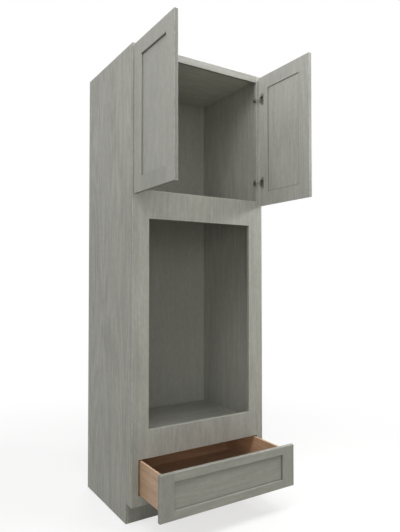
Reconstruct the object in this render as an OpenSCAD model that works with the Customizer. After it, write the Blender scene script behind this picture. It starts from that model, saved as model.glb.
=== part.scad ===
// Tall oven housing unit: a face-frame carcass with an oven cut-out in its
// front panel, two shaker doors on linked cup hinges above the oven and one
// drawer on full-extension runners below it.
// The origin is the middle of the back face at floor level. +X is to the
// right, +Y points to the wall behind and +Z is up. Lengths are millimetres.

/* [Carcass] */
// Width over the side panels
cab_w = 838.2; // [800:0.1:900]
// Depth from the wall to the front of the face frame
cab_d = 609.6; // [600:0.1:660]
// Height from the floor to the top
cab_h = 2438.4; // [2350:0.1:2550]
// Thickness of the side panels
side_t = 12.7; // [11:0.1:19]
// Thickness of the back panel
back_t = 6; // [4:0.1:9]
// How far the back panel is let into each side panel
back_rabbet = 6.3; // [4:0.1:8]
// Thickness of the top panel
top_t = 9.5; // [8:0.1:16]
// Thickness of the floors of the drawer bay and the upper cupboard
floor_t = 12.7; // [11:0.1:19]
// Height of the toe space under the face frame
toe_h = 104; // [90:0.5:115]
// Depth of the toe space behind the front of the face frame
toe_d = 66; // [55:0.5:80]
// Thickness of the toe board
toe_board_t = 12.7; // [11:0.1:19]
// Thickness of the rails that take the wall screws
nailer_t = 19; // [15:0.1:22]
// Height of the rail under the floor of the upper cupboard
upper_nailer_h = 50; // [40:0.5:60]
// Height of the rail under the oven deck
lower_nailer_h = 55; // [40:0.5:58]
// Height of the cleats under the sides of the oven deck
cleat_h = 38; // [25:0.5:50]

/* [Face frame] */
// Thickness of the face frame
frame_t = 19.05; // [18:0.05:22]
// Width of the two long stiles
stile_w = 38.1; // [36:0.1:42]
// Height of the rail above the doors' opening
top_rail_h = 38.1; // [34:0.1:48]
// Height of the rail below the drawer
bottom_rail_h = 48.4; // [42:0.1:56]
// Height of the drawer's opening
drawer_open_h = 181; // [176:0.5:190]
// Height of the oven panel below its cut-out
panel_below = 141.6; // [135:0.1:160]
// Width of the oven cut-out
oven_open_w = 647.7; // [600:0.1:680]
// Height of the oven cut-out
oven_open_h = 1075; // [1000:1:1100]
// Height of the oven panel above its cut-out
panel_above = 145.4; // [120:0.1:170]
// Thickness of the deck that carries the oven
deck_t = 19; // [16:0.1:25]
// How far the deck lies below the cut-out's lower edge
deck_drop = 63; // [50:0.5:70]
// How far the drawer bay's floor lies below the top of the bottom rail
floor_drop = 6.4; // [5:0.1:7]

/* [Shaker fronts] */
// Thickness of the doors and the drawer front
door_t = 19.05; // [18.5:0.05:21]
// Width of face frame that shows at each side of the fronts
reveal = 12; // [11:0.1:13]
// How far a door laps the rails above and below its opening
door_lap = 26.5; // [20:0.1:30]
// Gap between the two doors when they are shut
door_gap = 3.2; // [2:0.1:6]
// Gap between the face frame and the back of a shut front
bumper_gap = 2; // [1.6:0.1:2.6]
// Flat width of the doors' own stiles and rails
door_bar_w = 76.2; // [60:0.1:90]
// Width and depth of the sloped moulding round each panel
moulding = 3; // [2:0.1:4]
// Depth of the panels behind the front face
panel_recess = 9; // [7:0.1:10]
// Thickness of the panels
panel_t = 6.35; // [5:0.05:7]
// Depth of the grooves that hold the panels
groove_d = 9.5; // [7:0.1:12]
// Play left for a panel at the bottom of its grooves
panel_play = 1; // [0.5:0.1:2]
// Bevel round the front edges of the doors and the drawer front
edge_bevel = 1.2; // [0.6:0.1:2]
// How far the drawer front laps the rails above and below its opening
drawer_lap = 18; // [14:0.1:24]
// Flat height of the drawer front's rails
drawer_rail_w = 41.3; // [34:0.1:50]
// Diameter of the soft bumpers behind the fronts
bumper_d = 8; // [6:0.1:10]
// Thickness of the soft bumpers
bumper_t = 1.5; // [1:0.1:1.6]
// Distance of the bumpers from the fronts' edges
bumper_inset = 12; // [8:0.5:16]

/* [Drawer] */
// Thickness of the drawer box's sides, front and back
box_t = 12; // [10:0.1:15]
// Length of the drawer box from front to back
box_len = 533; // [500:1:540]
// Height of the drawer box's sides
box_h = 169; // [150:0.5:172]
// Gap between the box and the opening at each side
box_side_gap = 9; // [6:0.1:13]
// Height of the box above the lower edge of the opening
box_rise = 5.6; // [4.5:0.1:8]
// Thickness of the drawer's bottom
bottom_t = 6; // [5:0.1:7]
// Height of the bottom's underside above the lower edge of the sides
bottom_rise = 13; // [12:0.1:15]
// Depth of the joints and grooves cut in the box's sides
box_groove = 6; // [4:0.1:7]
// How far the drawer is pulled out
drawer_out = 255; // [0:1:500]

/* [Runners] */
// Length of each runner member
runner_len = 530; // [480:1:532]
// Distance from the box side's inner face to the middle of the runner
runner_inset = 15; // [14:0.1:20]
// Thickness of the runners' sheet steel
runner_sheet = 1.5; // [1.2:0.1:1.8]
// Half the width of the fixed rail's foot
foot_half = 15; // [14:0.1:16]
// Half the width of the fixed rail's raised part
rail_half = 5.6; // [5:0.1:6]
// Running gap between two runner members
runner_gap = 1.2; // [0.8:0.1:1.3]
// Gap that is left at a glide pad
pad_gap = 0.3; // [0.2:0.05:0.5]
// Length of the glide pads
pad_len = 30; // [20:1:50]

/* [Hinges] */
// Angle of the doors from shut
door_open = 90; // [0:1:94]
// Distance of each hinge from the door's nearer end
hinge_inset = 133; // [90:1:160]
// Diameter of the hinge cup
cup_d = 35; // [34.5:0.1:36]
// Depth of the hinge cup
cup_depth = 11.5; // [11:0.1:12.5]
// Thickness of the cup's wall and floor
cup_wall = 1; // [0.8:0.1:1.2]
// Distance from the door's edge to the middle of the cup
cup_edge = 20.5; // [20:0.1:21]
// Thickness of the cup's flange
flange_t = 1.2; // [1:0.1:1.3]
// Height of the cup's flange
flange_h = 64; // [60:0.5:70]
// Width of the cup's flange
flange_w = 20; // [16:0.5:22]
// Distance of the flange's middle from the cup's middle
flange_shift = 9.5; // [8:0.1:10]
// Distance between the two screws of a cup
cup_screw_pitch = 45; // [42:0.1:50]
// Height of the plate on the stile's inner edge
base_h = 37; // [34:0.5:44]
// Width of the plate on the stile's inner edge
base_w = 17; // [15:0.1:18]
// Thickness of that plate
base_t = 2.2; // [1.5:0.1:2.4]
// Distance of that plate behind the front of the face frame
base_back = 5; // [3:0.1:6]
// Distance between the two screws of that plate
base_screw_pitch = 26; // [22:0.1:28]
// Outer link's frame pin: distance inside the opening's edge
pin_a_in = 4.5; // [4.4:0.05:4.6]
// Outer link's frame pin: distance ahead of the face frame
pin_a_out = 9.7; // [9.6:0.05:9.8]
// Inner link's frame pin: distance inside the opening's edge
pin_c_in = 7.2; // [7.1:0.05:7.3]
// Inner link's frame pin: distance ahead of the face frame
pin_c_out = 4.2; // [4.1:0.05:4.3]
// Outer link's cup pin: distance from the cup's middle to the door's edge
pin_b_side = 13.8; // [13.7:0.05:13.9]
// Outer link's cup pin: depth in the door
pin_b_deep = 4.8; // [4.7:0.05:4.9]
// Inner link's cup pin: distance from the cup's middle to the door's edge
pin_d_side = 12.3; // [12.2:0.05:12.4]
// Inner link's cup pin: depth in the door
pin_d_deep = 1.15; // [1.1:0.05:1.2]
// Turn of the outer link while the door opens by 90 degrees
outer_turn = 21.5; // [21.4:0.1:21.6]
// Turn of the inner link while the door opens by 90 degrees
inner_turn = 33.3; // [33.1:0.1:33.5]
// Radius of the hinge pins
pin_r = 1; // [0.9:0.05:1]
// Radius of the eyes round the pins
eye_r = 2; // [1.9:0.05:2.1]
// Radial clearance of a pin that turns in its hole
run_fit = 0.05; // [0.03:0.01:0.08]
// Radial clearance of a pin or screw that is fixed in its hole
fixed_fit = 0.02; // [0.01:0.01:0.04]

/* [Screws] */
// Radius of the wood screws' shanks
screw_r = 1.9; // [1.6:0.1:2.2]
// Radius of the wood screws' heads
screw_head_r = 3.6; // [3.2:0.1:4]
// Height of the wood screws' heads
screw_head_t = 1.6; // [1.2:0.1:2]
// Length of the screws under the hinge plates
plate_screw_len = 16; // [12:0.5:18]
// Length of the screws in the hinge cups' flanges
flange_screw_len = 13; // [10:0.5:15]
// Length of the screws that hold the drawer front
front_screw_len = 26; // [22:0.5:29]
// Length of the screws that hold the runners down
runner_screw_len = 11; // [9:0.5:12]

/* [Hidden] */
$fn = 48;
eps = 0.01;
// How far a cutting shape passes the faces that it cuts
cut = 1;
// Spare depth of a screw's hole
hole_spare = 0.5;
screw_head_taper = 0.7;
half_w = cab_w / 2;
inner_half = half_w - side_t;
frame_back = cab_d - frame_t;
open_half = half_w - stile_w;
drawer_open_z = toe_h + bottom_rail_h;
panel_z = drawer_open_z + drawer_open_h;
oven_open_z = panel_z + panel_below;
panel_top_z = oven_open_z + oven_open_h + panel_above;
door_open_top = cab_h - top_rail_h;
bay_floor_z = drawer_open_z - floor_drop;
deck_z = oven_open_z - deck_drop;

// Shaker fronts
lap = stile_w - reveal;
door_z = panel_top_z - door_lap;
door_h = door_open_top + door_lap - door_z;
door_w = half_w - reveal - door_gap / 2;
front_w = cab_w - 2 * reveal;
front_z = drawer_open_z - drawer_lap;
front_h = drawer_open_h + 2 * drawer_lap;
groove_front = door_t - panel_recess;
groove_back = groove_front - panel_t;

// Drawer box, as it stands when shut
box_half = open_half - box_side_gap;
box_z = drawer_open_z + box_rise;
box_front_y = -cab_d - bumper_gap;
bottom_z = box_z + bottom_rise;
runner_x = box_half - box_t - runner_inset;
mid_half = rail_half + runner_sheet + runner_gap;
over_rail = 2;
frame_gap = 2.6;
slide_half = mid_half + runner_sheet + runner_gap;
slide_low = drawer_open_z + frame_gap;
rail_top = bottom_z - 2 * (runner_sheet + runner_gap) - over_rail;
mid_top = rail_top + runner_gap + runner_sheet;
front_screw_x = front_w / 4;
front_screw_rise = drawer_rail_w * 0.72;
// Places of the screws along a fixed rail, as shares of its length
runner_screw_shares = [0.08, 0.5, 0.92];
foot_screw_shift = 0.4;
pad_margin = 1;
pad_end = 2;
// Room at the slides' front end, and how much shorter than the rails they are
slide_end_gap = 1;
slide_short = 20;

// Hinge, seen from above in the shut position: x runs outwards from the
// opening's edge and y forwards from the face frame
cup_x = lap - cup_edge;
pin_a = [-pin_a_in, pin_a_out];
pin_c = [-pin_c_in, pin_c_out];
pin_b = [cup_x + pin_b_side, bumper_gap + pin_b_deep];
pin_d = [cup_x + pin_d_side, bumper_gap + pin_d_deep];
outer_angle = outer_turn * door_open / 90;
inner_angle = inner_turn * door_open / 90;
hinge_z = [door_z + hinge_inset, door_z + door_h - hinge_inset];
// Heights above and below the hinge's middle plane
link_low = 0.3;
link_high = 3.3;
lug_low = 3.8;
nose_high = 5.4;
lug_high = 6;
nose_depth = 13;
// Lengths of small shapes on the hinge's parts
nose_root = 3;
pin_proud = 0.4;
lug_slant = 1;
outer_waist = 0.7;
inner_waist = 0.4;
base_round = 4;
flange_round = 5;
rim_over = 1.5;
rim_notch = 3.6;
notch_in = 3;
notch_play = 0.4;

function turn(v, a) = [v.x * cos(a) - v.y * sin(a), v.x * sin(a) + v.y * cos(a)];

// Place of the outer link's cup pin with the door turned by some angle
function pin_b_at(a) = pin_a + turn(pin_b - pin_a, outer_turn * a / 90);
// Place of the inner link's cup pin on the link itself at that angle
function pin_d_on_link(a) =
  pin_c + turn(pin_b_at(a) + turn(pin_d - pin_b, -a) - pin_c, -inner_turn * a / 90);
door_limit = 96;
slot_steps = 8;
slot_path = [for (i = [0:slot_steps]) pin_d_on_link(door_limit * i / slot_steps)];
slot_play = 0.2;
slot_half = pin_r + slot_play;
slot_wall = 0.6;

wood_grey = [0.58, 0.58, 0.55];
wood_pale = [0.82, 0.66, 0.5];
steel = [0.62, 0.62, 0.6];
steel_dark = [0.3, 0.3, 0.3];
plastic_grey = [0.5, 0.5, 0.5];
rubber_clear = [0.85, 0.85, 0.83];

// ---- Helpers ----

// A board given by its corners
module board(x0, x1, y0, y1, z0, z1) {
  translate([x0, y0, z0]) cube([x1 - x0, y1 - y0, z1 - z0]);
}

// A flat bar with round ends between two points
module bar(p, q, r) {
  translate(p) circle(r);
  translate(q) circle(r);
  translate(p) rotate(atan2(q.y - p.y, q.x - p.x)) translate([0, -r]) square([norm(q - p), 2 * r]);
}

// The same shape above and below a hinge's middle plane
module layer(low, high) {
  for (s = [0, 1]) mirror([0, 0, s]) translate([0, 0, low]) linear_extrude(high - low) children();
}

// A profile in Y and Z, drawn out along X from x0 to x1
module along_x(x0, x1) {
  translate([x0, 0, 0]) rotate([90, 0, 90]) linear_extrude(x1 - x0) children();
}

// A profile in X and Z, drawn out along Y from y0 to y1
module along_y(y0, y1) {
  translate([0, y1, 0]) rotate([90, 0, 0]) linear_extrude(y1 - y0) children();
}

// Both sides of the cabinet
module both_sides() {
  for (s = [0, 1]) mirror([s, 0, 0]) children();
}

// Wood screw whose head's underside lies at the origin, pointing along -Z
module screw(length) {
  translate([0, 0, -length]) cylinder(r = screw_r, h = length + eps);
  cylinder(r1 = screw_head_r, r2 = screw_head_r * screw_head_taper, h = screw_head_t);
}

module screw_hole(length) {
  translate([0, 0, -length - hole_spare]) cylinder(r = screw_r + fixed_fit, h = length + hole_spare + cut);
}

// ---- Carcass ----

module side_panel() {
  color(wood_grey) difference() {
    along_x(inner_half, half_w) polygon([
      [0, 0], [0, cab_h], [-frame_back, cab_h], [-frame_back, toe_h],
      [toe_d - cab_d, toe_h], [toe_d - cab_d, 0]
    ]);
    board(inner_half - cut, inner_half + back_rabbet, -back_t, cut, -cut, cab_h + cut);
  }
}

module left_side_panel() { mirror([1, 0, 0]) side_panel(); }

module right_side_panel() { side_panel(); }

module back_panel() {
  reach = inner_half + back_rabbet;
  color(wood_grey) board(-reach, reach, -back_t, 0, 0, cab_h);
}

// A shelf-like panel between the sides, from the back panel to the face frame
module level(z, t) {
  color(wood_grey) board(-inner_half, inner_half, -frame_back, -back_t, z - t, z);
}

module top_panel() { level(cab_h, top_t); }

module upper_floor() { level(panel_top_z, floor_t); }

module oven_deck() { level(deck_z, deck_t); }

module bay_floor() {
  difference() {
    level(bay_floor_z, floor_t);
    runner_screw_places() screw_hole(runner_screw_len);
  }
}

module toe_board() {
  front = toe_d - cab_d;
  color(wood_grey) board(-inner_half, inner_half, front, front + toe_board_t, 0, bay_floor_z - floor_t);
}

module nailer(top, h) {
  color(wood_grey) board(-inner_half, inner_half, -back_t - nailer_t, -back_t, top - h, top);
}

module upper_nailer() { nailer(panel_top_z - floor_t, upper_nailer_h); }

module lower_nailer() { nailer(deck_z - deck_t, lower_nailer_h); }

module deck_cleats() {
  top = deck_z - deck_t;
  color(wood_grey) both_sides()
    board(inner_half - nailer_t, inner_half, -frame_back, -back_t - nailer_t, top - cleat_h, top);
}

// ---- Face frame ----

module stile() {
  color(wood_grey) difference() {
    board(open_half, half_w, -cab_d, -frame_back, toe_h, cab_h);
    at_hinges() base_screw_places() screw_hole(plate_screw_len);
  }
}

module left_stile() { mirror([1, 0, 0]) stile(); }

module right_stile() { stile(); }

module rail(z0, z1) {
  color(wood_grey) board(-open_half, open_half, -cab_d, -frame_back, z0, z1);
}

module top_rail() { rail(door_open_top, cab_h); }

module bottom_rail() { rail(toe_h, drawer_open_z); }

module oven_panel() {
  difference() {
    rail(panel_z, panel_top_z);
    board(
      -oven_open_w / 2, oven_open_w / 2, -cab_d - cut, cut - frame_back,
      oven_open_z, oven_open_z + oven_open_h
    );
  }
}

// ---- Five-piece shaker fronts ----
// Drawn with the lower left corner of the back at the origin and the front at +Y

// Section of a stile or rail: outer edge at x = 0, moulded and grooved edge at the right
module bar_section(w) {
  inner = w + moulding;
  polygon([
    [0, 0], [0, door_t], [w, door_t], [inner, door_t - moulding],
    [inner, groove_front], [inner - groove_d, groove_front],
    [inner - groove_d, groove_back], [inner, groove_back], [inner, 0]
  ]);
}

// The front's whole outline, with bevelled front edges
module front_blank(w, h) {
  b = edge_bevel;
  flat = door_t - b;
  intersection() {
    linear_extrude(h) polygon([[0, 0], [0, flat], [b, door_t], [w - b, door_t], [w, flat], [w, 0]]);
    along_x(0, w) polygon([[0, 0], [flat, 0], [door_t, b], [door_t, h - b], [flat, h], [0, h]]);
  }
}

module front_stile(w, h, stile) {
  color(wood_grey) intersection() {
    linear_extrude(h) bar_section(stile);
    front_blank(w, h);
  }
}

// Rail with ends shaped over the stiles' moulding and tongued into their grooves
module front_rail(w, h, stile, rail) {
  tongue = stile + moulding - groove_d + panel_play;
  color(wood_grey) intersection() {
    difference() {
      translate([w - tongue, 0, 0]) rotate([0, -90, 0]) linear_extrude(w - 2 * tongue) bar_section(rail);
      translate([0, 0, -cut]) linear_extrude(h) bar_section(stile);
      translate([w, 0, -cut]) mirror([1, 0, 0]) linear_extrude(h) bar_section(stile);
    }
    front_blank(w, h);
  }
}

module front_panel(w, h, stile, rail) {
  inset = moulding - groove_d + panel_play;
  color(wood_grey)
    board(stile + inset, w - stile - inset, groove_back, groove_front, rail + inset, h - rail - inset);
}

// ---- Doors ----

// Right door's opening edge: x outwards, y forwards, z up
module at_right_edge() {
  translate([open_half, -cab_d, 0]) mirror([0, 1, 0]) children();
}

module at_hinges() {
  at_right_edge() for (z = hinge_z) translate([0, 0, z]) children();
}

module turned_about(p, a) {
  translate(p) rotate(a) translate(-p) children();
}

module moved_with_outer_link() { turned_about(pin_a, outer_angle) children(); }

module moved_with_inner_link() { turned_about(pin_c, inner_angle) children(); }

module moved_with_door() {
  translate(pin_b_at(door_open)) rotate(-door_open) translate(-pin_b) children();
}

// Right door's front pieces, hung on the opening's edge
module hung() {
  at_right_edge() moved_with_door() translate([lap - door_w, bumper_gap, door_z]) children();
}

module hung_hinge_parts() {
  at_right_edge() moved_with_door() for (z = hinge_z) translate([0, 0, z]) children();
}

module door_hinge_stile() {
  difference() {
    hung() translate([door_w, 0, 0]) mirror([1, 0, 0]) front_stile(door_w, door_h, door_bar_w);
    hung_hinge_parts() {
      cup_space();
      cup_screw_places() screw_hole(flange_screw_len);
    }
  }
}

module door_latch_stile() { hung() front_stile(door_w, door_h, door_bar_w); }

module door_bottom_rail() { hung() front_rail(door_w, door_h, door_bar_w, door_bar_w); }

module door_top_rail() {
  hung() translate([0, 0, door_h]) mirror([0, 0, 1]) front_rail(door_w, door_h, door_bar_w, door_bar_w);
}

module door_panel() { hung() front_panel(door_w, door_h, door_bar_w, door_bar_w); }

// A soft bumper on the back of a front
module bumper() {
  color(rubber_clear) rotate([90, 0, 0]) cylinder(r = bumper_d / 2, h = bumper_t);
}

module door_bumpers() {
  hung() for (z = [bumper_inset, door_h - bumper_inset]) translate([bumper_inset, 0, z]) bumper();
}

// ---- Linked cup hinges, drawn shut with the middle plane at z = 0 ----

module cup_space() {
  translate([cup_x, bumper_gap - cut, 0]) rotate([-90, 0, 0])
    cylinder(r = cup_d / 2 + fixed_fit, h = cup_depth + cut);
}

module cup_screw_places() {
  for (s = [-1, 1])
    translate([cup_x - flange_shift, bumper_gap - flange_t, s * cup_screw_pitch / 2])
      rotate([90, 0, 0]) children();
}

// Lug that holds one of the link pins, joined to the cup's wall
module cup_lug(p) {
  translate([0, 0, lug_low]) linear_extrude(lug_high - lug_low)
    bar(p, [cup_x + cup_d / 2 - cup_wall / 2, p.y + lug_slant], eye_r);
}

// Round disc or bore along the cup's axis, starting at the flange's face
module cup_round(r, h) {
  translate([cup_x, bumper_gap - flange_t, 0]) rotate([-90, 0, 0]) cylinder(r = r, h = h);
}

module hinge_cup() {
  inner_r = cup_d / 2 - cup_wall;
  whole = cup_depth + flange_t - fixed_fit;
  color(steel_dark) difference() {
    union() {
      difference() {
        union() {
          cup_round(cup_d / 2, whole);
          cup_round(cup_d / 2 + rim_over, flange_t);
          translate([cup_x - flange_shift, bumper_gap - flange_t, 0]) rotate([-90, 0, 0])
            linear_extrude(flange_t) rounded_plate(flange_w, flange_h, flange_round);
        }
        translate([0, -cut, 0]) cup_round(inner_r, whole - cup_wall + cut);
      }
      intersection() {
        union() {
          cup_lug(pin_b);
          mirror([0, 0, 1]) cup_lug(pin_d);
        }
        cup_round(cup_d / 2 - cup_wall / 2, cup_depth);
      }
    }
    // Way for the links past the rim when the door stands open
    board(
      cup_x + inner_r - notch_in, cup_x + cup_d / 2 + rim_over + cut,
      bumper_gap - flange_t - cut, bumper_gap + rim_notch, -link_high - notch_play, link_high + notch_play
    );
    translate([pin_b.x, pin_b.y, 0]) cylinder(r = pin_r + fixed_fit, h = lug_high + cut);
    translate([pin_d.x, pin_d.y, -lug_high - cut]) cylinder(r = pin_r + fixed_fit, h = lug_high + cut);
    cup_screw_places() screw_hole(flange_t + cut);
  }
}

module rounded_plate(w, h, r) {
  square([w - 2 * r, h], center = true);
  square([w, h - 2 * r], center = true);
  for (x = [-1, 1], y = [-1, 1]) translate([x * (w / 2 - r), y * (h / 2 - r)]) circle(r);
}

module base_screw_places() {
  for (s = [-1, 1])
    translate([-base_t, -base_back - base_w / 2, s * base_screw_pitch / 2]) rotate([0, -90, 0]) children();
}

module hinge_base() {
  root = [-pin_c_in, -nose_root];
  color(steel) difference() {
    union() {
      translate([-base_t, -base_back - base_w / 2, 0]) rotate([0, 90, 0])
        linear_extrude(base_t) rounded_plate(base_h, base_w, base_round);
      translate([-pin_c_in - eye_r, -base_back - nose_depth, -nose_high])
        cube([pin_c_in + eye_r - base_t + eps, nose_depth + base_back, 2 * nose_high]);
      layer(lug_low, nose_high) {
        bar(root, pin_c, eye_r);
        bar(pin_c, pin_a, eye_r);
      }
    }
    for (p = [pin_a, pin_c]) translate([p.x, p.y, -nose_high - cut])
      cylinder(r = pin_r + fixed_fit, h = 2 * (nose_high + cut));
    base_screw_places() screw_hole(base_t + cut);
  }
}

// Upper of the two plates
module outer_link() {
  color(steel) translate([0, 0, link_low]) linear_extrude(link_high - link_low) difference() {
    union() {
      bar(pin_a, pin_b, eye_r - outer_waist);
      for (p = [pin_a, pin_b]) translate(p) circle(eye_r);
    }
    for (p = [pin_a, pin_b]) translate(p) circle(pin_r + run_fit);
  }
}

// Lower plate, slotted where the cup's pin takes up the difference in reach
module inner_link() {
  color(steel) translate([0, 0, -link_high]) linear_extrude(link_high - link_low) difference() {
    union() {
      translate(pin_c) circle(eye_r);
      bar(pin_c, slot_path[0], eye_r - inner_waist);
      along_slot(slot_half + slot_wall);
    }
    translate(pin_c) circle(pin_r + run_fit);
    along_slot(slot_half);
  }
}

module along_slot(r) {
  for (i = [1:len(slot_path) - 1]) bar(slot_path[i - 1], slot_path[i], r);
}

module base_pins() {
  color(steel) for (p = [pin_a, pin_c]) translate([p.x, p.y, -nose_high - pin_proud])
    cylinder(r = pin_r, h = 2 * (nose_high + pin_proud));
}

module link_pins() {
  color(steel) {
    translate([pin_b.x, pin_b.y, link_low]) cylinder(r = pin_r, h = lug_high - link_low);
    translate([pin_d.x, pin_d.y, -lug_high]) cylinder(r = pin_r, h = lug_high - link_low);
  }
}

module hinge_bases() { both_sides() at_hinges() hinge_base(); }

module hinge_base_pins() { both_sides() at_hinges() base_pins(); }

module hinge_base_screws() {
  color(steel) both_sides() at_hinges() base_screw_places() screw(plate_screw_len);
}

module outer_links() { at_hinges() moved_with_outer_link() outer_link(); }

module inner_links() { at_hinges() moved_with_inner_link() inner_link(); }

module hinge_cups() { hung_hinge_parts() hinge_cup(); }

module cup_pins() { hung_hinge_parts() link_pins(); }

module cup_screws() { color(steel) hung_hinge_parts() cup_screw_places() screw(flange_screw_len); }

module left() { mirror([1, 0, 0]) children(); }

// ---- Runners ----

// An upturned channel open below: half width, top and lower edge
module channel(half, top, low) {
  inner = half - runner_sheet;
  difference() {
    translate([-half, low]) square([2 * half, top - low]);
    translate([-inner, low - cut]) square([2 * inner, top - low + cut - runner_sheet]);
  }
}

module at_runners() {
  both_sides() translate([runner_x, 0, 0]) children();
}

module runner_screw_places() {
  aside = (rail_half + foot_half) / 2 + foot_screw_shift;
  at_runners() for (share = runner_screw_shares)
    translate([-aside, runner_len * share - frame_back, bay_floor_z + runner_sheet]) children();
}

module runner_rails() {
  color(steel) difference() {
    at_runners() along_y(-frame_back, runner_len - frame_back) {
      channel(rail_half, rail_top, bay_floor_z);
      for (s = [0, 1]) mirror([s, 0]) translate([rail_half - runner_sheet, bay_floor_z])
        square([foot_half + runner_sheet - rail_half, runner_sheet]);
    }
    runner_screw_places() screw_hole(runner_sheet + cut);
  }
}

module runner_screws() { color(steel) runner_screw_places() screw(runner_screw_len); }

module runner_carriages() {
  color(steel) translate([0, -drawer_out / 2, 0]) at_runners()
    along_y(-frame_back, runner_len - frame_back) channel(mid_half, mid_top, slide_low);
}

// Pads between the carriage and the rail below it, and on top of the carriage
module runner_glides() {
  color(plastic_grey) translate([0, -drawer_out / 2, 0]) at_runners() {
    board(
      pad_margin - mid_half + runner_sheet, mid_half - runner_sheet - pad_margin,
      runner_len - frame_back - pad_len, runner_len - frame_back - pad_end,
      rail_top + pad_gap, mid_top - runner_sheet
    );
    board(
      pad_margin - mid_half, mid_half - pad_margin, pad_end - frame_back, pad_len - frame_back,
      mid_top, bottom_z - runner_sheet - pad_gap
    );
  }
}

module drawer_slides() {
  front = box_front_y + box_t + slide_end_gap;
  color(steel) with_drawer() at_runners()
    along_y(front, front + runner_len - slide_short) channel(slide_half, bottom_z, slide_low);
}

// ---- Drawer ----

module with_drawer() { translate([0, -drawer_out, 0]) children(); }

// Drawer front's pieces, with the drawer
module on_drawer() {
  with_drawer() translate([-front_w / 2, box_front_y, front_z]) mirror([0, 1, 0]) children();
}

module drawer_front_left_stile() { on_drawer() front_stile(front_w, front_h, door_bar_w); }

module drawer_front_right_stile() {
  on_drawer() translate([front_w, 0, 0]) mirror([1, 0, 0]) front_stile(front_w, front_h, door_bar_w);
}

module drawer_front_bottom_rail() {
  difference() {
    on_drawer() front_rail(front_w, front_h, door_bar_w, drawer_rail_w);
    front_screw_places() screw_hole(front_screw_len);
  }
}

module drawer_front_top_rail() {
  difference() {
    on_drawer() translate([0, 0, front_h]) mirror([0, 0, 1])
      front_rail(front_w, front_h, door_bar_w, drawer_rail_w);
    front_screw_places() screw_hole(front_screw_len);
  }
}

module drawer_front_panel() { on_drawer() front_panel(front_w, front_h, door_bar_w, drawer_rail_w); }

module front_screw_places() {
  for (x = [-1, 1], z = [front_z + front_screw_rise, front_z + front_h - front_screw_rise])
    with_drawer() translate([x * front_screw_x, box_front_y + box_t, z]) rotate([-90, 0, 0]) children();
}

module drawer_front_screws() { color(steel) front_screw_places() screw(front_screw_len); }

module drawer_bumpers() {
  color(rubber_clear) with_drawer() for (x = [-1, 1])
    translate([x * (front_w / 2 - bumper_inset), box_front_y, front_z + front_h - drawer_lap / 2])
      rotate([-90, 0, 0]) cylinder(r = bumper_d / 2, h = bumper_t);
}

// Side with rebates for the box's front and back and a groove for its bottom
module box_side() {
  inner = box_half - box_t;
  back_y = box_front_y + box_len;
  color(wood_pale) with_drawer() difference() {
    board(inner, box_half, box_front_y, back_y, box_z, box_z + box_h);
    translate([inner - cut, 0, 0]) {
      board(0, box_groove + cut, box_front_y - cut, box_front_y + box_t, box_z - cut, box_z + box_h + cut);
      board(0, box_groove + cut, back_y - box_t, back_y + cut, box_z - cut, box_z + box_h + cut);
      board(0, box_groove + cut, box_front_y - cut, back_y + cut, bottom_z, bottom_z + bottom_t);
    }
  }
}

module drawer_box_left() { left() box_side(); }

module drawer_box_right() { box_side(); }

module drawer_box_front() {
  reach = box_half - box_t + box_groove;
  color(wood_pale) difference() {
    with_drawer() difference() {
      board(-reach, reach, box_front_y, box_front_y + box_t, box_z, box_z + box_h);
      board(
        -reach - cut, reach + cut, box_front_y + box_t - box_groove, box_front_y + box_t + cut,
        bottom_z, bottom_z + bottom_t
      );
    }
    front_screw_places() screw_hole(box_t + cut);
  }
}

// The back stands on the bottom, so the runners pass below it
module drawer_box_back() {
  reach = box_half - box_t + box_groove;
  back_y = box_front_y + box_len;
  color(wood_pale) with_drawer()
    board(-reach, reach, back_y - box_t, back_y, bottom_z + bottom_t, box_z + box_h);
}

module drawer_bottom() {
  reach = box_half - box_t + box_groove;
  front_y = box_front_y + box_t - box_groove;
  color(wood_pale) with_drawer()
    board(-reach, reach, front_y, box_front_y + box_len, bottom_z, bottom_z + bottom_t);
}

left_side_panel();
right_side_panel();
back_panel();
top_panel();
upper_floor();
oven_deck();
bay_floor();
toe_board();
upper_nailer();
lower_nailer();
deck_cleats();
left_stile();
right_stile();
top_rail();
oven_panel();
bottom_rail();
hinge_bases();
hinge_base_pins();
hinge_base_screws();
runner_rails();
runner_screws();
left() outer_links();  // left_outer_links
left() inner_links();  // left_inner_links
left() door_hinge_stile();  // left_door_hinge_stile
left() door_latch_stile();  // left_door_latch_stile
left() door_top_rail();  // left_door_top_rail
left() door_bottom_rail();  // left_door_bottom_rail
left() door_panel();  // left_door_panel
left() hinge_cups();  // left_hinge_cups
left() cup_pins();  // left_cup_pins
left() cup_screws();  // left_cup_screws
left() door_bumpers();  // left_door_bumpers
outer_links();  // right_outer_links
inner_links();  // right_inner_links
door_hinge_stile();  // right_door_hinge_stile
door_latch_stile();  // right_door_latch_stile
door_top_rail();  // right_door_top_rail
door_bottom_rail();  // right_door_bottom_rail
door_panel();  // right_door_panel
hinge_cups();  // right_hinge_cups
cup_pins();  // right_cup_pins
cup_screws();  // right_cup_screws
door_bumpers();  // right_door_bumpers
runner_carriages();
runner_glides();
drawer_front_left_stile();
drawer_front_right_stile();
drawer_front_top_rail();
drawer_front_bottom_rail();
drawer_front_panel();
drawer_box_left();
drawer_box_right();
drawer_box_front();
drawer_box_back();
drawer_bottom();
drawer_slides();
drawer_front_screws();
drawer_bumpers();
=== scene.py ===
import math

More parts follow.
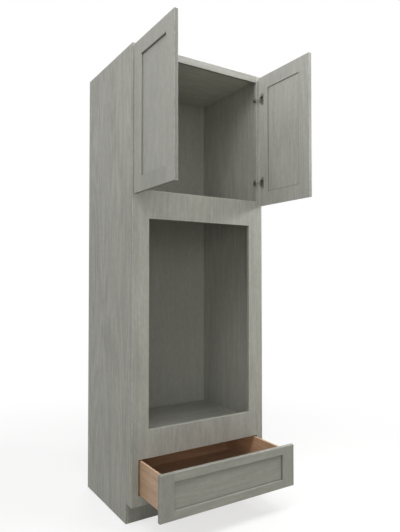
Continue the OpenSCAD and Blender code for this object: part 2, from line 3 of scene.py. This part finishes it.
import bpy
import numpy as np
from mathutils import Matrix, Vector


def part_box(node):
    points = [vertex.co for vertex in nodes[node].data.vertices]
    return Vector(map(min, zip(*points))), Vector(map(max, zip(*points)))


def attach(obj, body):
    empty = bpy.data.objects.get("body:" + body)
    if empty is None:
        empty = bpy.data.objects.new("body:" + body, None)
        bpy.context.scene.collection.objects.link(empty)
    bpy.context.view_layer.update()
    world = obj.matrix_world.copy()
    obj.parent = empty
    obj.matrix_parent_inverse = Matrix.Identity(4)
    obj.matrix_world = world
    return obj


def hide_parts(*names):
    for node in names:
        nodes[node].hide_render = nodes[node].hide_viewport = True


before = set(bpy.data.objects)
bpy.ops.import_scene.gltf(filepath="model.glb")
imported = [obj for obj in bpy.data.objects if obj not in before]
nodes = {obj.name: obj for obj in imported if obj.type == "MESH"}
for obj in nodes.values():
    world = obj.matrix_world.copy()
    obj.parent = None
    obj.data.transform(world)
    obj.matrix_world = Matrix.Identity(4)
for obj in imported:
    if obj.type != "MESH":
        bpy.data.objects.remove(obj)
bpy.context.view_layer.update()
scene = bpy.context.scene
across, deep, upright = 0, 1, 2  # the three axes: width, depth and height
boardStep = (3.71, 1.37, 5.93)  # how far the grain's pattern moves from one board to the next
print("frame loaded:", len(nodes), "nodes")


def paint(red, green, blue):
    # a colour picker's 0 to 255 values, as the linear colour that shaders take
    parts = [value / 255 for value in (red, green, blue)]
    return [part / 12.92 if part < 0.04045 else ((part + 0.055) / 1.055) ** 2.4 for part in parts] + [1]


def addObject(name, data):
    item = bpy.data.objects.new(name, data)
    scene.collection.objects.link(item)
    return item


class Wire:
    # one output socket; sums and products written with it become Math nodes
    def __init__(self, tree, socket):
        self.tree = tree
        self.socket = socket

    def math(self, operation, *others):
        return self.tree.put("ShaderNodeMath", {"operation": operation}, dict(enumerate([self, *others])))

    def __add__(self, other):
        return self.math("ADD", other)

    __radd__ = __add__

    def __mul__(self, other):
        return self.math("MULTIPLY", other)

    __rmul__ = __mul__

    def __sub__(self, other):
        return self.math("SUBTRACT", other)

    def __rsub__(self, other):
        return (self * -1) + other

    def __abs__(self):
        return self.math("ABSOLUTE")

    def least(self, other):
        return self.math("MINIMUM", other)

    def most(self, other):
        return self.math("MAXIMUM", other)

    def ramp(self, start, end, low=0, high=1):
        # eased from low to high while the value goes from start to end
        return self.tree.put(
            "ShaderNodeMapRange", {"interpolation_type": "SMOOTHSTEP"},
            {"Value": self, "From Min": start, "From Max": end, "To Min": low, "To Max": high})


class Tree:
    # the emptied node tree of a material or a world
    def __init__(self, owner):
        owner.use_nodes = True
        self.owner = owner
        self.nodes = owner.node_tree.nodes
        self.links = owner.node_tree.links
        self.nodes.clear()

    def put(self, kind, settings=None, inputs=None, output=0):
        node = self.nodes.new(kind)
        for name, value in (settings or {}).items():
            setattr(node, name, value)
        for name, value in (inputs or {}).items():
            if isinstance(value, Wire):
                self.links.new(value.socket, node.inputs[name])
            else:
                node.inputs[name].default_value = value
        return Wire(self, node.outputs[output]) if len(node.outputs) else None

    def seen(self):
        # 1 where the camera sees it, straight or in metal or glass, and 0 for stray light
        straight = self.put("ShaderNodeLightPath", output="Is Camera Ray")
        outputs = straight.socket.node.outputs
        mirrored, through = [Wire(self, outputs[name]) for name in ("Is Glossy Ray", "Is Transmission Ray")]
        return straight.most(mirrored).most(through)


class Finish(Tree):
    # one material, with the point of the surface and its three coordinates as wires
    def __init__(self, name):
        super().__init__(bpy.data.materials.new(name))
        self.point = self.put("ShaderNodeTexCoord", output="Object")
        split = self.put("ShaderNodeSeparateXYZ", {}, {"Vector": self.point}).socket.node
        self.spot = [Wire(self, output) for output in split.outputs]

    def squeezed(self, factors, seed=0):
        # the point with each coordinate scaled, moved so that each board gets its own figure
        shift = [seed * step for step in boardStep]
        return self.put(
            "ShaderNodeVectorMath", {"operation": "MULTIPLY_ADD"}, {0: self.point, 1: factors, 2: shift})

    def noise(self, point, scale, detail=2, rough=0.5):
        return self.put(
            "ShaderNodeTexNoise", {}, {"Vector": point, "Scale": scale, "Detail": detail, "Roughness": rough})

    def mix(self, share, first, second):
        # sockets 6, 7 and output 2 are a Mix node's colours
        return self.put(
            "ShaderNodeMix", {"data_type": "RGBA", "clamp_factor": True},
            {0: share, 6: first, 7: second}, output=2)

    def bump(self, height, depth, strength):
        return self.put("ShaderNodeBump", {}, {"Height": height, "Distance": depth, "Strength": strength})

    def surface(self, shader):
        self.put("ShaderNodeOutputMaterial", {}, {"Surface": shader})
        return self.owner

    def principled(self, sockets):
        return self.surface(self.put("ShaderNodeBsdfPrincipled", {}, sockets))


def nodePoints(node):
    # all corners of a node's mesh, one row each
    mesh = nodes[node].data
    points = np.empty(len(mesh.vertices) * 3, np.float32)
    mesh.vertices.foreach_get("co", points)
    return points.reshape(-1, 3).astype(float)


def outerBox(names):
    # the box round several nodes
    corners = np.array([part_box(name) for name in names])
    return corners[:, 0].min(0), corners[:, 1].max(0)


def boxEdge(finish, low, high):
    # distance to the nearest edge of a box, for a point on its surface: the middle one
    # of the distances to the nearest faces in width, depth and height
    gaps = [(finish.spot[a] - low[a]).least(high[a] - finish.spot[a]) for a in range(3)]
    return gaps[0].least(gaps[1]).most(gaps[0].most(gaps[1]).least(gaps[2]))


def rimGap(finish, low, high, axes):
    # distance to the border of a rectangle, measured square to its nearest side
    gaps = [(finish.spot[a] - low[a]).least(high[a] - finish.spot[a]) for a in axes]
    return abs(gaps[0].least(gaps[1]))


# Grey stained wood
greyLook = {
    "light": paint(162, 162, 154),
    "dark": paint(138, 138, 130),
    "pore": paint(98, 97, 91),
    "poreShare": 0.35,
    "fibreScale": 430,  # fibres about 2 mm wide
    "streakScale": 115,
    "figureScale": 5.5,
    "rings": 75,
    "cloudScale": 7,
    "mottleScale": 70,
    "poreScale": 900,
    "worn": paint(184, 185, 177),  # rubbed corners and edges
    "wornWidth": 0.0030,
    "wornShare": 0.6,
    "rubScale": 55,
    "rubSpan": (0.30, 0.62),
    "paintedShade": paint(84, 83, 77),  # painted shade, in the corner round a front's panel and on the doors' narrow edges
    "rimShadeWidth": 0.0045,
    "rimShadeShare": 0.55,
    "edgeShadeWidth": (0.0015, 0.0005),
    "edgeShadeShare": 0.5,
    "roughness": 0.46,
    "gloss": 0.4,
    "grainDepth": 0.00035,
    "grainBump": 0.55,
}

# Each layer of noise in the grain: its stretch along the board, its detail and its roughness
grainLayers = {
    "fibre": (60, 3, 0.6), "streak": (38, 3, 0.55), "figure": (9, 1, 0.4),
    "pore": (26, 2, 0.5), "cloud": (5, 2, 0.5), "mottle": (2.5, 2, 0.6),
}
figureShares = {"fibre": 1.5, "streak": 1.3, "cloud": 0.75, "loops": 0.3}
mottleShare = 0.8
poreSpan = (0.56, 0.70)  # the noise's values between which a pore opens


def along(axis, stretch):
    # the factors that draw a pattern out along one axis
    return [1 / stretch if a == axis else 1 for a in range(3)]


def grain(finish, look, axis, seed, contrast):
    # share of the light tone, and height of the surface: fine fibres, wider streaks, a
    # mottle and the loops of a plain-sawn board, which are the level lines of a slow noise
    layer = {
        name: finish.noise(finish.squeezed(along(axis, stretch), seed), look[name + "Scale"], detail, rough)
        for name, (stretch, detail, rough) in grainLayers.items()}
    layer["loops"] = (layer["figure"] * look["rings"]).math("SINE") * 0.5 + 0.5
    pore = layer["pore"].ramp(*poreSpan)
    figure = sum((layer[name] - 0.5) * share for name, share in figureShares.items())
    tone = figure * contrast + (layer["mottle"] - 0.5) * mottleShare + 0.5
    height = layer["fibre"] * 0.6 + layer["loops"] * 0.15 - pore * 0.5
    return tone, pore, height


def greyStain(
        name, axis, seed, contrast, paintedLight, blue=1, look=greyLook, worn=None, rimShaded=None, edgeShaded=None):
    # worn gives the distance to the edges; the next two give the distance to the panel's rim and to the
    # outline, where painted shade darkens the colour
    finish = Finish(name)
    # the whole board is lightened or darkened as painted light and shade, with its blue tinted to the same
    # light
    shares = (paintedLight, paintedLight, paintedLight * blue, 1)
    dark, light, darkPore = [
        [part * share for part, share in zip(look[kind], shares)] for kind in ("dark", "light", "pore")]
    tone, pore, height = grain(finish, look, axis, seed, contrast)
    colour = finish.mix(tone, dark, light)
    colour = finish.mix(pore * (look["poreShare"] * contrast), colour, darkPore)
    # painted shade: the narrow edges of the doors are darkened, standing in for shade on them
    if edgeShaded:
        edgeShade = edgeShaded(finish).ramp(*look["edgeShadeWidth"]) * look["edgeShadeShare"]
        colour = finish.mix(edgeShade, colour, look["paintedShade"])
    if worn:
        rubbed = worn(finish).ramp(look["wornWidth"], 0)
        patches = finish.noise(finish.point, look["rubScale"]).ramp(*look["rubSpan"])
        colour = finish.mix(rubbed * patches * look["wornShare"], colour, look["worn"])
    # painted shade: darker in the corner round the panel, where shade falls in the recess
    if rimShaded:
        rimShade = rimShaded(finish).ramp(look["rimShadeWidth"], 0) * look["rimShadeShare"]
        colour = finish.mix(rimShade, colour, look["paintedShade"])
    return finish.principled({
        "Base Color": colour,
        "Roughness": tone * -0.12 + pore * 0.12 + look["roughness"],
        "Specular IOR Level": look["gloss"],
        "Normal": finish.bump(height, look["grainDepth"], look["grainBump"]),
    })


def dress(node, material):
    for place in nodes[node].material_slots:
        place.material = material


# Direction of the grain, how much it stands out, and how light the board is painted: above 1 is painted light
# and below 1 painted shade, for the light that falls on each board
carcassBoards = {
    "left_side_panel": (upright, 1.2, 1.0), "right_side_panel": (upright, 1.0, 1.0),
    "back_panel": (upright, 0.3, 1.06), "toe_board": (upright, 0.8, 0.78),
    "top_panel": (across, 0.8, 1.35), "upper_floor": (across, 0.8, 1.2),
    "oven_deck": (across, 0.8, 0.8), "bay_floor": (across, 0.8, 1.0),
    "upper_nailer": (across, 0.8, 1.0), "lower_nailer": (across, 0.8, 1.0),
    "deck_cleats": (deep, 0.8, 1.0),
}

# The top of the unit gets stain but no lacquer, so it is matt
bareBoards = {"top_panel": dict(greyLook, roughness=0.9, gloss=0.1)}

for seed, (node, (axis, contrast, paintedLight)) in enumerate(carcassBoards.items(), 1):
    low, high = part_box(node)
    edge = lambda finish, low=low, high=high: boxEdge(finish, low, high)
    look = bareBoards.get(node, greyLook)
    dress(node, greyStain("grey_" + node, axis, seed, contrast, paintedLight, look=look, worn=edge))

# Face frame: one stained face with three openings, so its worn edges run round the whole
# frame and round each opening, and not along the flush joints
frameNodes = ["left_stile", "right_stile", "top_rail", "oven_panel", "bottom_rail"]
frameLook = {"seed": 20, "contrast": 0.85}
frameLow, frameHigh = outerBox(frameNodes)
innerLeft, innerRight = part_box("left_stile")[1][across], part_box("right_stile")[0][across]
panelLow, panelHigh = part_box("oven_panel")
panelPoints = nodePoints("oven_panel")
cutPoints = panelPoints[abs(panelPoints[:, across]) < panelHigh[across] - 0.001]
openings = [
    ((innerLeft, 0, panelHigh[upright]), (innerRight, 0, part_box("top_rail")[0][upright])),
    (cutPoints.min(0), cutPoints.max(0)),
    ((innerLeft, 0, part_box("bottom_rail")[1][upright]), (innerRight, 0, panelLow[upright])),
]


def frameEdge(finish):
    # distance to the frame's outline or to an opening, whichever is nearer, on its front
    gap = rimGap(finish, frameLow, frameHigh, (across, upright))
    for low, high in openings:
        gap = gap.least(rimGap(finish, low, high, (across, upright)))
    return gap.most(finish.spot[deep] - frameLow[deep])


# Boards darkened with painted shade, for shade that falls on them more than on the rest of their frame
shadedBoards = {
    "top_rail": 0.75, "left_stile": 0.93, "left_door_bottom_rail": 0.88, "drawer_front_left_stile": 0.9,
}
for node in frameNodes:
    axis = across if node == "top_rail" else upright
    dress(node, greyStain(
        "grey_" + node, axis, frameLook["seed"], frameLook["contrast"], shadedBoards.get(node, 1),
        worn=frameEdge))

# Five-piece fronts: the bars' outer corners are worn, painted shade darkens the corner round the panel,
# and the doors' narrow edges are darkened with painted shade. The factor that lightens or darkens each front,
# and its blue, are painted light and shade for the light that falls on that front
fronts = {
    "left_door": {
        "plane": (deep, upright), "bars": upright, "seed": 71,
        "contrast": 0.32, "paintedLight": 1.0, "blue": 1.02},
    "right_door": {
        "plane": (deep, upright), "bars": upright, "seed": 37,
        "contrast": 0.7, "paintedLight": 1.19, "blue": 1.04},
    "drawer_front": {
        "plane": (across, upright), "bars": across, "seed": 43,
        "contrast": 0.6, "paintedLight": 0.88, "blue": 0.99},
}
frontBoards = {
    front: [
        node for node in nodes
        if node.startswith(front + "_") and node.endswith(("stile", "rail", "panel"))]
    for front in fronts}


def between(boards, ending, axis):
    # where the lower of a front's two stiles or rails ends, and where the higher one starts
    pair = [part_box(node) for node in boards if node.endswith(ending)]
    lower, higher = sorted(pair, key=lambda box: box[0][axis])
    return lower[1][axis], higher[0][axis]


for front, facts in fronts.items():
    boards = frontBoards[front]
    plane = facts["plane"]
    low, high = outerBox(boards)
    rimLow, rimHigh = Vector(low), Vector(high)
    for axis, ending in zip(plane, ("stile", "rail")):
        rimLow[axis], rimHigh[axis] = between(boards, ending, axis)
    edge = lambda finish, low=low, high=high: boxEdge(finish, low, high)
    rim = lambda finish, low=rimLow, high=rimHigh, plane=plane: rimGap(finish, low, high, plane)
    outline = lambda finish, low=low, high=high, plane=plane: rimGap(finish, low, high, plane)
    for number, node in enumerate(boards):
        axis = upright if node.endswith("stile") else facts["bars"]
        dress(node, greyStain(
            "grey_" + node, axis, facts["seed"] + number, facts["contrast"],
            facts["paintedLight"] * shadedBoards.get(node, 1), facts["blue"], worn=edge, rimShaded=rim,
            edgeShaded=outline if front.endswith("door") else None))
print("grey boards finished")


# Drawer box: clear-coated pale wood
paleLook = dict(
    greyLook, light=paint(198, 166, 137), dark=paint(172, 139, 112), pore=paint(140, 103, 77),
    poreShare=0.4, streakScale=48, rings=45, roughness=0.42, gloss=0.4, grainDepth=0.00015, grainBump=0.5)


def drawerWood(name, axis, seed):
    finish = Finish(name)
    tone, pore, height = grain(finish, paleLook, axis, seed, 1)
    colour = finish.mix(tone, paleLook["dark"], paleLook["light"])
    colour = finish.mix(pore * paleLook["poreShare"], colour, paleLook["pore"])
    return finish.principled({
        "Base Color": colour,
        "Roughness": tone * -0.10 + paleLook["roughness"],
        "Specular IOR Level": paleLook["gloss"],
        "Normal": finish.bump(height, paleLook["grainDepth"], paleLook["grainBump"]),
    })


drawerBoards = {
    "drawer_box_left": deep, "drawer_box_right": deep, "drawer_box_front": across,
    "drawer_box_back": across, "drawer_bottom": across,
}
firstSeed = 60
for seed, (node, axis) in enumerate(drawerBoards.items(), firstSeed):
    dress(node, drawerWood("pale_" + node, axis, seed))
print("drawer box finished")


# Plated sheet steel: faint drawing lines and clouds of dulled plating
platingLook = {"lineScale": 900, "lineDepth": 0.00004, "lineBump": 0.4, "dullSpan": (0.35, 0.7)}


def plated(name, look):
    finish = Finish(name)
    lines = finish.noise(finish.squeezed(look["lines"]), platingLook["lineScale"])
    clouds = finish.noise(finish.point, look["cloudScale"], 3, 0.6)
    colour = finish.mix(clouds.ramp(*platingLook["dullSpan"]), look["colour"], look["dull"])
    return finish.principled({
        "Base Color": colour,
        "Metallic": 1.0,
        "Roughness": lines * 0.12 + clouds * 0.16 + look["roughness"],
        "Normal": finish.bump(lines, platingLook["lineDepth"], platingLook["lineBump"]),
    })


# "lines" squeezes the drawing lines in width, depth and height: they run where it is small
metals = {
    "cup": {"colour": paint(164, 163, 158), "dull": paint(128, 127, 122), "lines": (1, 1, 0.04),
            "cloudScale": 160, "roughness": 0.3},
    "base": {"colour": paint(156, 155, 150), "dull": paint(122, 121, 116), "lines": (1, 1, 0.04),
             "cloudScale": 160, "roughness": 0.3},
    "link": {"colour": paint(132, 131, 127), "dull": paint(98, 97, 93), "lines": (0.05, 1, 1),
             "cloudScale": 220, "roughness": 0.26},
    "screw": {"colour": paint(188, 186, 180), "dull": paint(138, 136, 131), "lines": (1, 0.1, 1),
              "cloudScale": 300, "roughness": 0.2},
    "runner": {"colour": paint(196, 197, 198), "dull": paint(150, 152, 154), "lines": (1, 0.02, 1),
               "cloudScale": 70, "roughness": 0.26},
}
platings = {name: plated("plated_" + name, look) for name, look in metals.items()}
metalNodes = {
    "hinge_bases": "base", "hinge_base_pins": "link", "runner_rails": "runner",
    "runner_carriages": "runner", "drawer_slides": "runner",
    "left_hinge_cups": "cup", "left_cup_pins": "link",
    "left_outer_links": "link", "left_inner_links": "link",
    "right_hinge_cups": "cup", "right_cup_pins": "link",
    "right_outer_links": "link", "right_inner_links": "link",
}
for node, metal in metalNodes.items():
    dress(node, platings[metal])


# Moulded plastic or rubber: a faint cloudiness and a fine pebbled skin
mouldedLook = {
    "cloudScale": 240, "cloudSpan": (0.3, 0.7),
    "pebbleScale": 2600, "pebbleDepth": 0.00003, "pebbleBump": 0.5,
}


def moulded(name, look):
    finish = Finish(name)
    clouds = finish.noise(finish.point, mouldedLook["cloudScale"]).ramp(*mouldedLook["cloudSpan"])
    pebbles = finish.noise(finish.point, mouldedLook["pebbleScale"])
    return finish.principled({
        "Base Color": finish.mix(clouds, look["dark"], look["light"]),
        "Roughness": pebbles * 0.15 + look["roughness"],
        "Normal": finish.bump(pebbles, mouldedLook["pebbleDepth"], mouldedLook["pebbleBump"]),
        **look["more"],
    })


plastics = {
    "nylon_glide": {
        "light": paint(128, 128, 130), "dark": paint(108, 108, 111), "roughness": 0.42,
        "more": {}, "nodes": ["runner_glides"]},
    "clear_bumper": {
        "light": paint(222, 222, 218), "dark": paint(205, 205, 200), "roughness": 0.2,
        "more": {"Transmission Weight": 0.6, "IOR": 1.45},
        "nodes": ["left_door_bumpers", "right_door_bumpers", "drawer_bumpers"]},
}
for name, look in plastics.items():
    plastic = moulded(name, look)
    for node in look["nodes"]:
        dress(node, plastic)
print("metals and plastics finished")


# Screws with a cross recess and a thread. Numbers that are shares are of the head's radius
# and height, and below the head of the shank's radius
screwLook = {
    "topWidth": 0.82,  # share, as are the next three
    "dome": 0.16,
    "crossWidth": 0.19,
    "crossReach": 0.62,
    "crossDepth": 0.00095,
    "rim": [(0.95, 0.55), (1, 0.28), (0.97, 0)],  # shares of radius and height below the top
    "neck": 0.0006,
    "pitch": 0.0018,
    "threadDepth": 0.16,  # share
    "tip": (2.2, 0.4, 0.45),  # shares: where the point starts, where it ends, and how thick
    "topRows": 14,
    "pitchRows": 6,
    "turnSteps": 48,
    "firstTurn": 0.4,  # angle of the first cross, and how far each one turns from the last
    "nextTurn": 0.7,
}


def solidParts(points):
    # splits a node's loose triangles into solids: each corner takes the lowest number
    # found among the corners that share a triangle with it, until nothing changes
    keys, same = np.unique(points.round(6), axis=0, return_inverse=True)
    corners = same.reshape(-1, 3)
    label = np.arange(len(keys))
    while True:
        lowest = label[corners].min(1)
        fresh = label.copy()
        for side in range(3):
            np.minimum.at(fresh, corners[:, side], lowest)
        if (fresh == label).all():
            break
        label = fresh
    return [keys[label == name] for name in np.unique(label)]


def triangleCorners(node):
    # the corners of a node's triangles, three rows to each
    mesh = nodes[node].data
    mesh.calc_loop_triangles()
    order = np.empty(len(mesh.loop_triangles) * 3, np.int32)
    mesh.loop_triangles.foreach_get("vertices", order)
    return nodePoints(node)[order]


def screwShape(length, shankRadius, headRadius, headHeight):
    # a profile of radius and height turned about the screw's axis; rows on the head's top
    # sink where they lie in the cross, and rows of the shank swell along a helix
    steps = screwLook["turnSteps"]
    angle = np.arange(steps) * 2 * math.pi / steps
    topRows = np.linspace(0.06, 1, screwLook["topRows"])
    rimRadii, rimHeights = np.transpose(screwLook["rim"])
    tipStart, tipEnd, tipRadius = [share * shankRadius for share in screwLook["tip"]]
    shankRows = np.arange(-screwLook["neck"], tipStart - length, -screwLook["pitch"] / screwLook["pitchRows"])
    radii = np.concatenate([
        topRows * headRadius * screwLook["topWidth"], rimRadii * headRadius,
        np.full(len(shankRows), shankRadius), [tipRadius]])
    heights = np.concatenate([
        headHeight * (1 - screwLook["dome"] * topRows ** 2), rimHeights * headHeight,
        shankRows, [tipEnd - length]])
    radius = np.repeat(radii[:, None], steps, 1)
    height = np.repeat(heights[:, None], steps, 1)
    shank = slice(len(topRows) + len(rimRadii), len(radii) - 1)
    wave = (height[shank] / screwLook["pitch"] + angle / (2 * math.pi)) % 1
    ridge = np.clip(1 - abs(wave - 0.5) * 5, 0, 1)
    radius[shank] *= 1 - screwLook["threadDepth"] * (1 - ridge)
    x, y = radius * np.cos(angle), radius * np.sin(angle)
    arm = screwLook["crossWidth"] * headRadius
    reach = screwLook["crossReach"] * headRadius
    inArm = [
        np.clip((arm - abs(a)) / (0.25 * arm), 0, 1) * np.clip((reach - abs(b)) / (0.6 * arm), 0, 1)
        for a, b in ((x, y), (y, x))]
    top = slice(0, len(topRows))
    sunk = np.maximum(*inArm)[top] * (1 - 0.6 * (radius[top] / headRadius))
    height[top] -= screwLook["crossDepth"] * sunk
    ring = np.stack([x, y, height], -1).reshape(-1, 3)
    poles = [[0, 0, headHeight - screwLook["crossDepth"]], [0, 0, -length]]
    points = np.vstack([ring, poles])
    row, step = np.meshgrid(np.arange(len(radii) - 1), np.arange(steps), indexing="ij")
    after = (step + 1) % steps
    quads = np.stack([
        row * steps + step, (row + 1) * steps + step,
        (row + 1) * steps + after, row * steps + after], -1).reshape(-1, 4)
    turn = np.arange(steps)
    last = (len(radii) - 1) * steps
    top = np.stack([np.full(steps, len(ring)), turn, (turn + 1) % steps], -1)
    tip = np.stack([np.full(steps, len(ring) + 1), last + (turn + 1) % steps, last + turn], -1)
    return points, [*quads.tolist(), *top.tolist(), *tip.tolist()]


def screwsFor(node, body, turn):
    # reads each solid's axis, head and length from its corners, and puts a screw there: the
    # head is where the corners are furthest from the axis
    points, faces = [], []
    for number, solid in enumerate(solidParts(triangleCorners(node))):
        low, high = solid.min(0), solid.max(0)
        axis = int(np.argmax(high - low))
        sides = [a for a in range(3) if a != axis]
        middle = (low + high) / 2
        reach = np.hypot(*(solid[:, sides] - middle[sides]).T)
        headRadius = reach.max()
        headEnd = solid[reach > 0.9 * headRadius, axis].mean()
        up = 1 if headEnd > middle[axis] else -1
        tipPlace, topPlace = (low[axis], high[axis]) if up > 0 else (high[axis], low[axis])
        wide = solid[reach > 0.95 * headRadius, axis]
        under = wide[np.argmin(abs(wide - tipPlace))]
        shankRadius = reach[abs(solid[:, axis] - tipPlace) < 0.0005].max()
        shape, shapeFaces = screwShape(
            abs(under - tipPlace), shankRadius, headRadius, abs(topPlace - under))
        spin = turn + number * screwLook["nextTurn"]
        flat = shape[:, :2] @ np.array([[math.cos(spin), math.sin(spin)], [-math.sin(spin), math.cos(spin)]])
        placed = np.zeros_like(shape)
        placed[:, sides[0]] = middle[sides[0]] + flat[:, 0]
        # the second direction is flipped where the axes would otherwise be left-handed
        handed = up if axis != 1 else -up
        placed[:, sides[1]] = middle[sides[1]] + flat[:, 1] * handed
        placed[:, axis] = under + shape[:, 2] * up
        faces += [[corner + sum(map(len, points)) for corner in face] for face in shapeFaces]
        points.append(placed)
    mesh = bpy.data.meshes.new(node + "_threaded")
    mesh.from_pydata(np.vstack(points).tolist(), [], faces)
    mesh.materials.append(platings["screw"])
    mesh.polygons.foreach_set("use_smooth", np.ones(len(mesh.polygons), bool))
    piece = addObject(node + "_threaded", mesh)
    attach(piece, body)
    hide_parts(node)


screwNodes = {
    "hinge_base_screws": "cabinet", "runner_screws": "cabinet", "left_cup_screws": "left_door",
    "right_cup_screws": "right_door", "drawer_front_screws": "drawer",
}
for number, (node, body) in enumerate(screwNodes.items()):
    screwsFor(node, body, screwLook["firstTurn"] + number)
print("screws made")


# The boards' edges are eased; a CAD mesh is loose triangles, so they are welded first
easing = {"weld": 0.00001, "width": 0.0007, "segments": 2, "angle": math.radians(35)}
for node in [*carcassBoards, *frameNodes, *sum(frontBoards.values(), []), *drawerBoards]:
    weld = nodes[node].modifiers.new("Weld", "WELD")
    weld.merge_threshold = easing["weld"]
    bevel = nodes[node].modifiers.new("Bevel", "BEVEL")
    bevel.width = easing["width"]
    bevel.segments = easing["segments"]
    bevel.limit_method = "ANGLE"
    bevel.angle_limit = easing["angle"]
print("edges eased")


cameraLook = {
    "place": (-1.4837, -2.8881, 1.2407),
    "yaw": 32.374,  # degrees from +Y towards +X
    "pitch": 1.349,
    "lens": 33.74,
    "sensor": 36,
    "shift": (0.0073, 0.0022),
}
camera = addObject("Camera", bpy.data.cameras.new("Camera"))
camera.location = cameraLook["place"]
camera.rotation_euler = (math.radians(90 + cameraLook["pitch"]), 0, math.radians(-cameraLook["yaw"]))
camera.data.lens = cameraLook["lens"]
camera.data.sensor_width = cameraLook["sensor"]
camera.data.shift_x, camera.data.shift_y = cameraLook["shift"]
scene.camera = camera


stageLook = {
    "half": 9,  # half the width of the floor
    "bounce": paint(169, 169, 158),  # the floor as other surfaces see it
    "pale": paint(243, 243, 242),  # the floor as the camera sees it
    "nearWhite": 0.70,  # share of plain white in the seen floor beside the unit
    "fade": (1.0, 2.6),  # the share grows to 1 between these distances
    "ambient": 0.2,
    "aim": (0, -0.4, 1.3),  # where every lamp points
}


def makeFloor():
    # a flat square, matt under the object and fading to plain white away from it
    half = stageLook["half"]
    corners = [(-half, -half, 0), (half, -half, 0), (half, half, 0), (-half, half, 0)]
    mesh = bpy.data.meshes.new("floor")
    mesh.from_pydata(corners, [], [(0, 1, 2, 3)])
    floor = addObject("floor", mesh)
    finish = Finish("pale_floor")
    seen = finish.seen()
    matt = finish.put(
        "ShaderNodeBsdfDiffuse", {}, {"Color": finish.mix(seen, stageLook["bounce"], stageLook["pale"])})
    white = finish.put("ShaderNodeEmission", {}, {"Color": (1, 1, 1, 1), "Strength": 1})
    away = finish.put("ShaderNodeVectorMath", {"operation": "LENGTH"}, {0: finish.point}, output="Value")
    share = away.ramp(*stageLook["fade"], low=stageLook["nearWhite"], high=1)
    both = finish.put("ShaderNodeMixShader", {}, {0: seen * share, 1: matt, 2: white})
    mesh.materials.append(finish.surface(both))


def makeWorld():
    # plain white where it is seen, and a faint even light where it isn't
    sky = Tree(bpy.data.worlds.new("studio"))
    faint, plain = [
        sky.put("ShaderNodeBackground", {}, {"Color": (1, 1, 1, 1), "Strength": strength})
        for strength in (stageLook["ambient"], 1)]
    both = sky.put("ShaderNodeMixShader", {}, {0: sky.seen(), 1: faint, 2: plain})
    sky.put("ShaderNodeOutputWorld", {}, {"Surface": both})
    scene.world = sky.owner


lamps = {
    "top": {"place": (0, -1.0, 5.0), "size": 2.5, "power": 48},
    "topLeft": {"place": (-1.2, -2.2, 5.0), "size": 2.0, "power": 51},
    "topRight": {"place": (1.2, -1.6, 4.0), "size": 1.0, "power": 11},
    "highLeft": {"place": (-1.5, -2.5, 3.5), "size": 1.0, "power": 11},
    "highRight": {"place": (0.8, -1.6, 3.2), "size": 0.8, "power": 14},
    "left": {"place": (-2.5, -1.5, 3.4), "size": 1.0, "power": 17},
    "farLeft": {"place": (-4.0, -2.0, 4.5), "size": 2.5, "power": 29},
    "right": {"place": (2.1, -1.65, 2.4), "size": 0.5, "power": 28},
    "front": {"place": (-3.0, -4.5, 1.2), "size": 2.5, "power": 46},
    "face": {"place": (-1.5, -4.5, 2.6), "size": 1.5, "power": 19},
    "back": {"place": (2.0, 5.0, 3.0), "size": 3.0, "power": 170},
}


def makeLamp(name, look):
    light = bpy.data.lights.new(name, "AREA")
    light.size = look["size"]
    light.energy = look["power"]
    lamp = addObject(name, light)
    lamp.location = look["place"]
    lamp.rotation_euler = (Vector(stageLook["aim"]) - lamp.location).to_track_quat("-Z", "Y").to_euler()


makeFloor()
makeWorld()
for name, look in lamps.items():
    makeLamp(name, look)
scene.view_settings.view_transform = "Standard"
print("stage set")
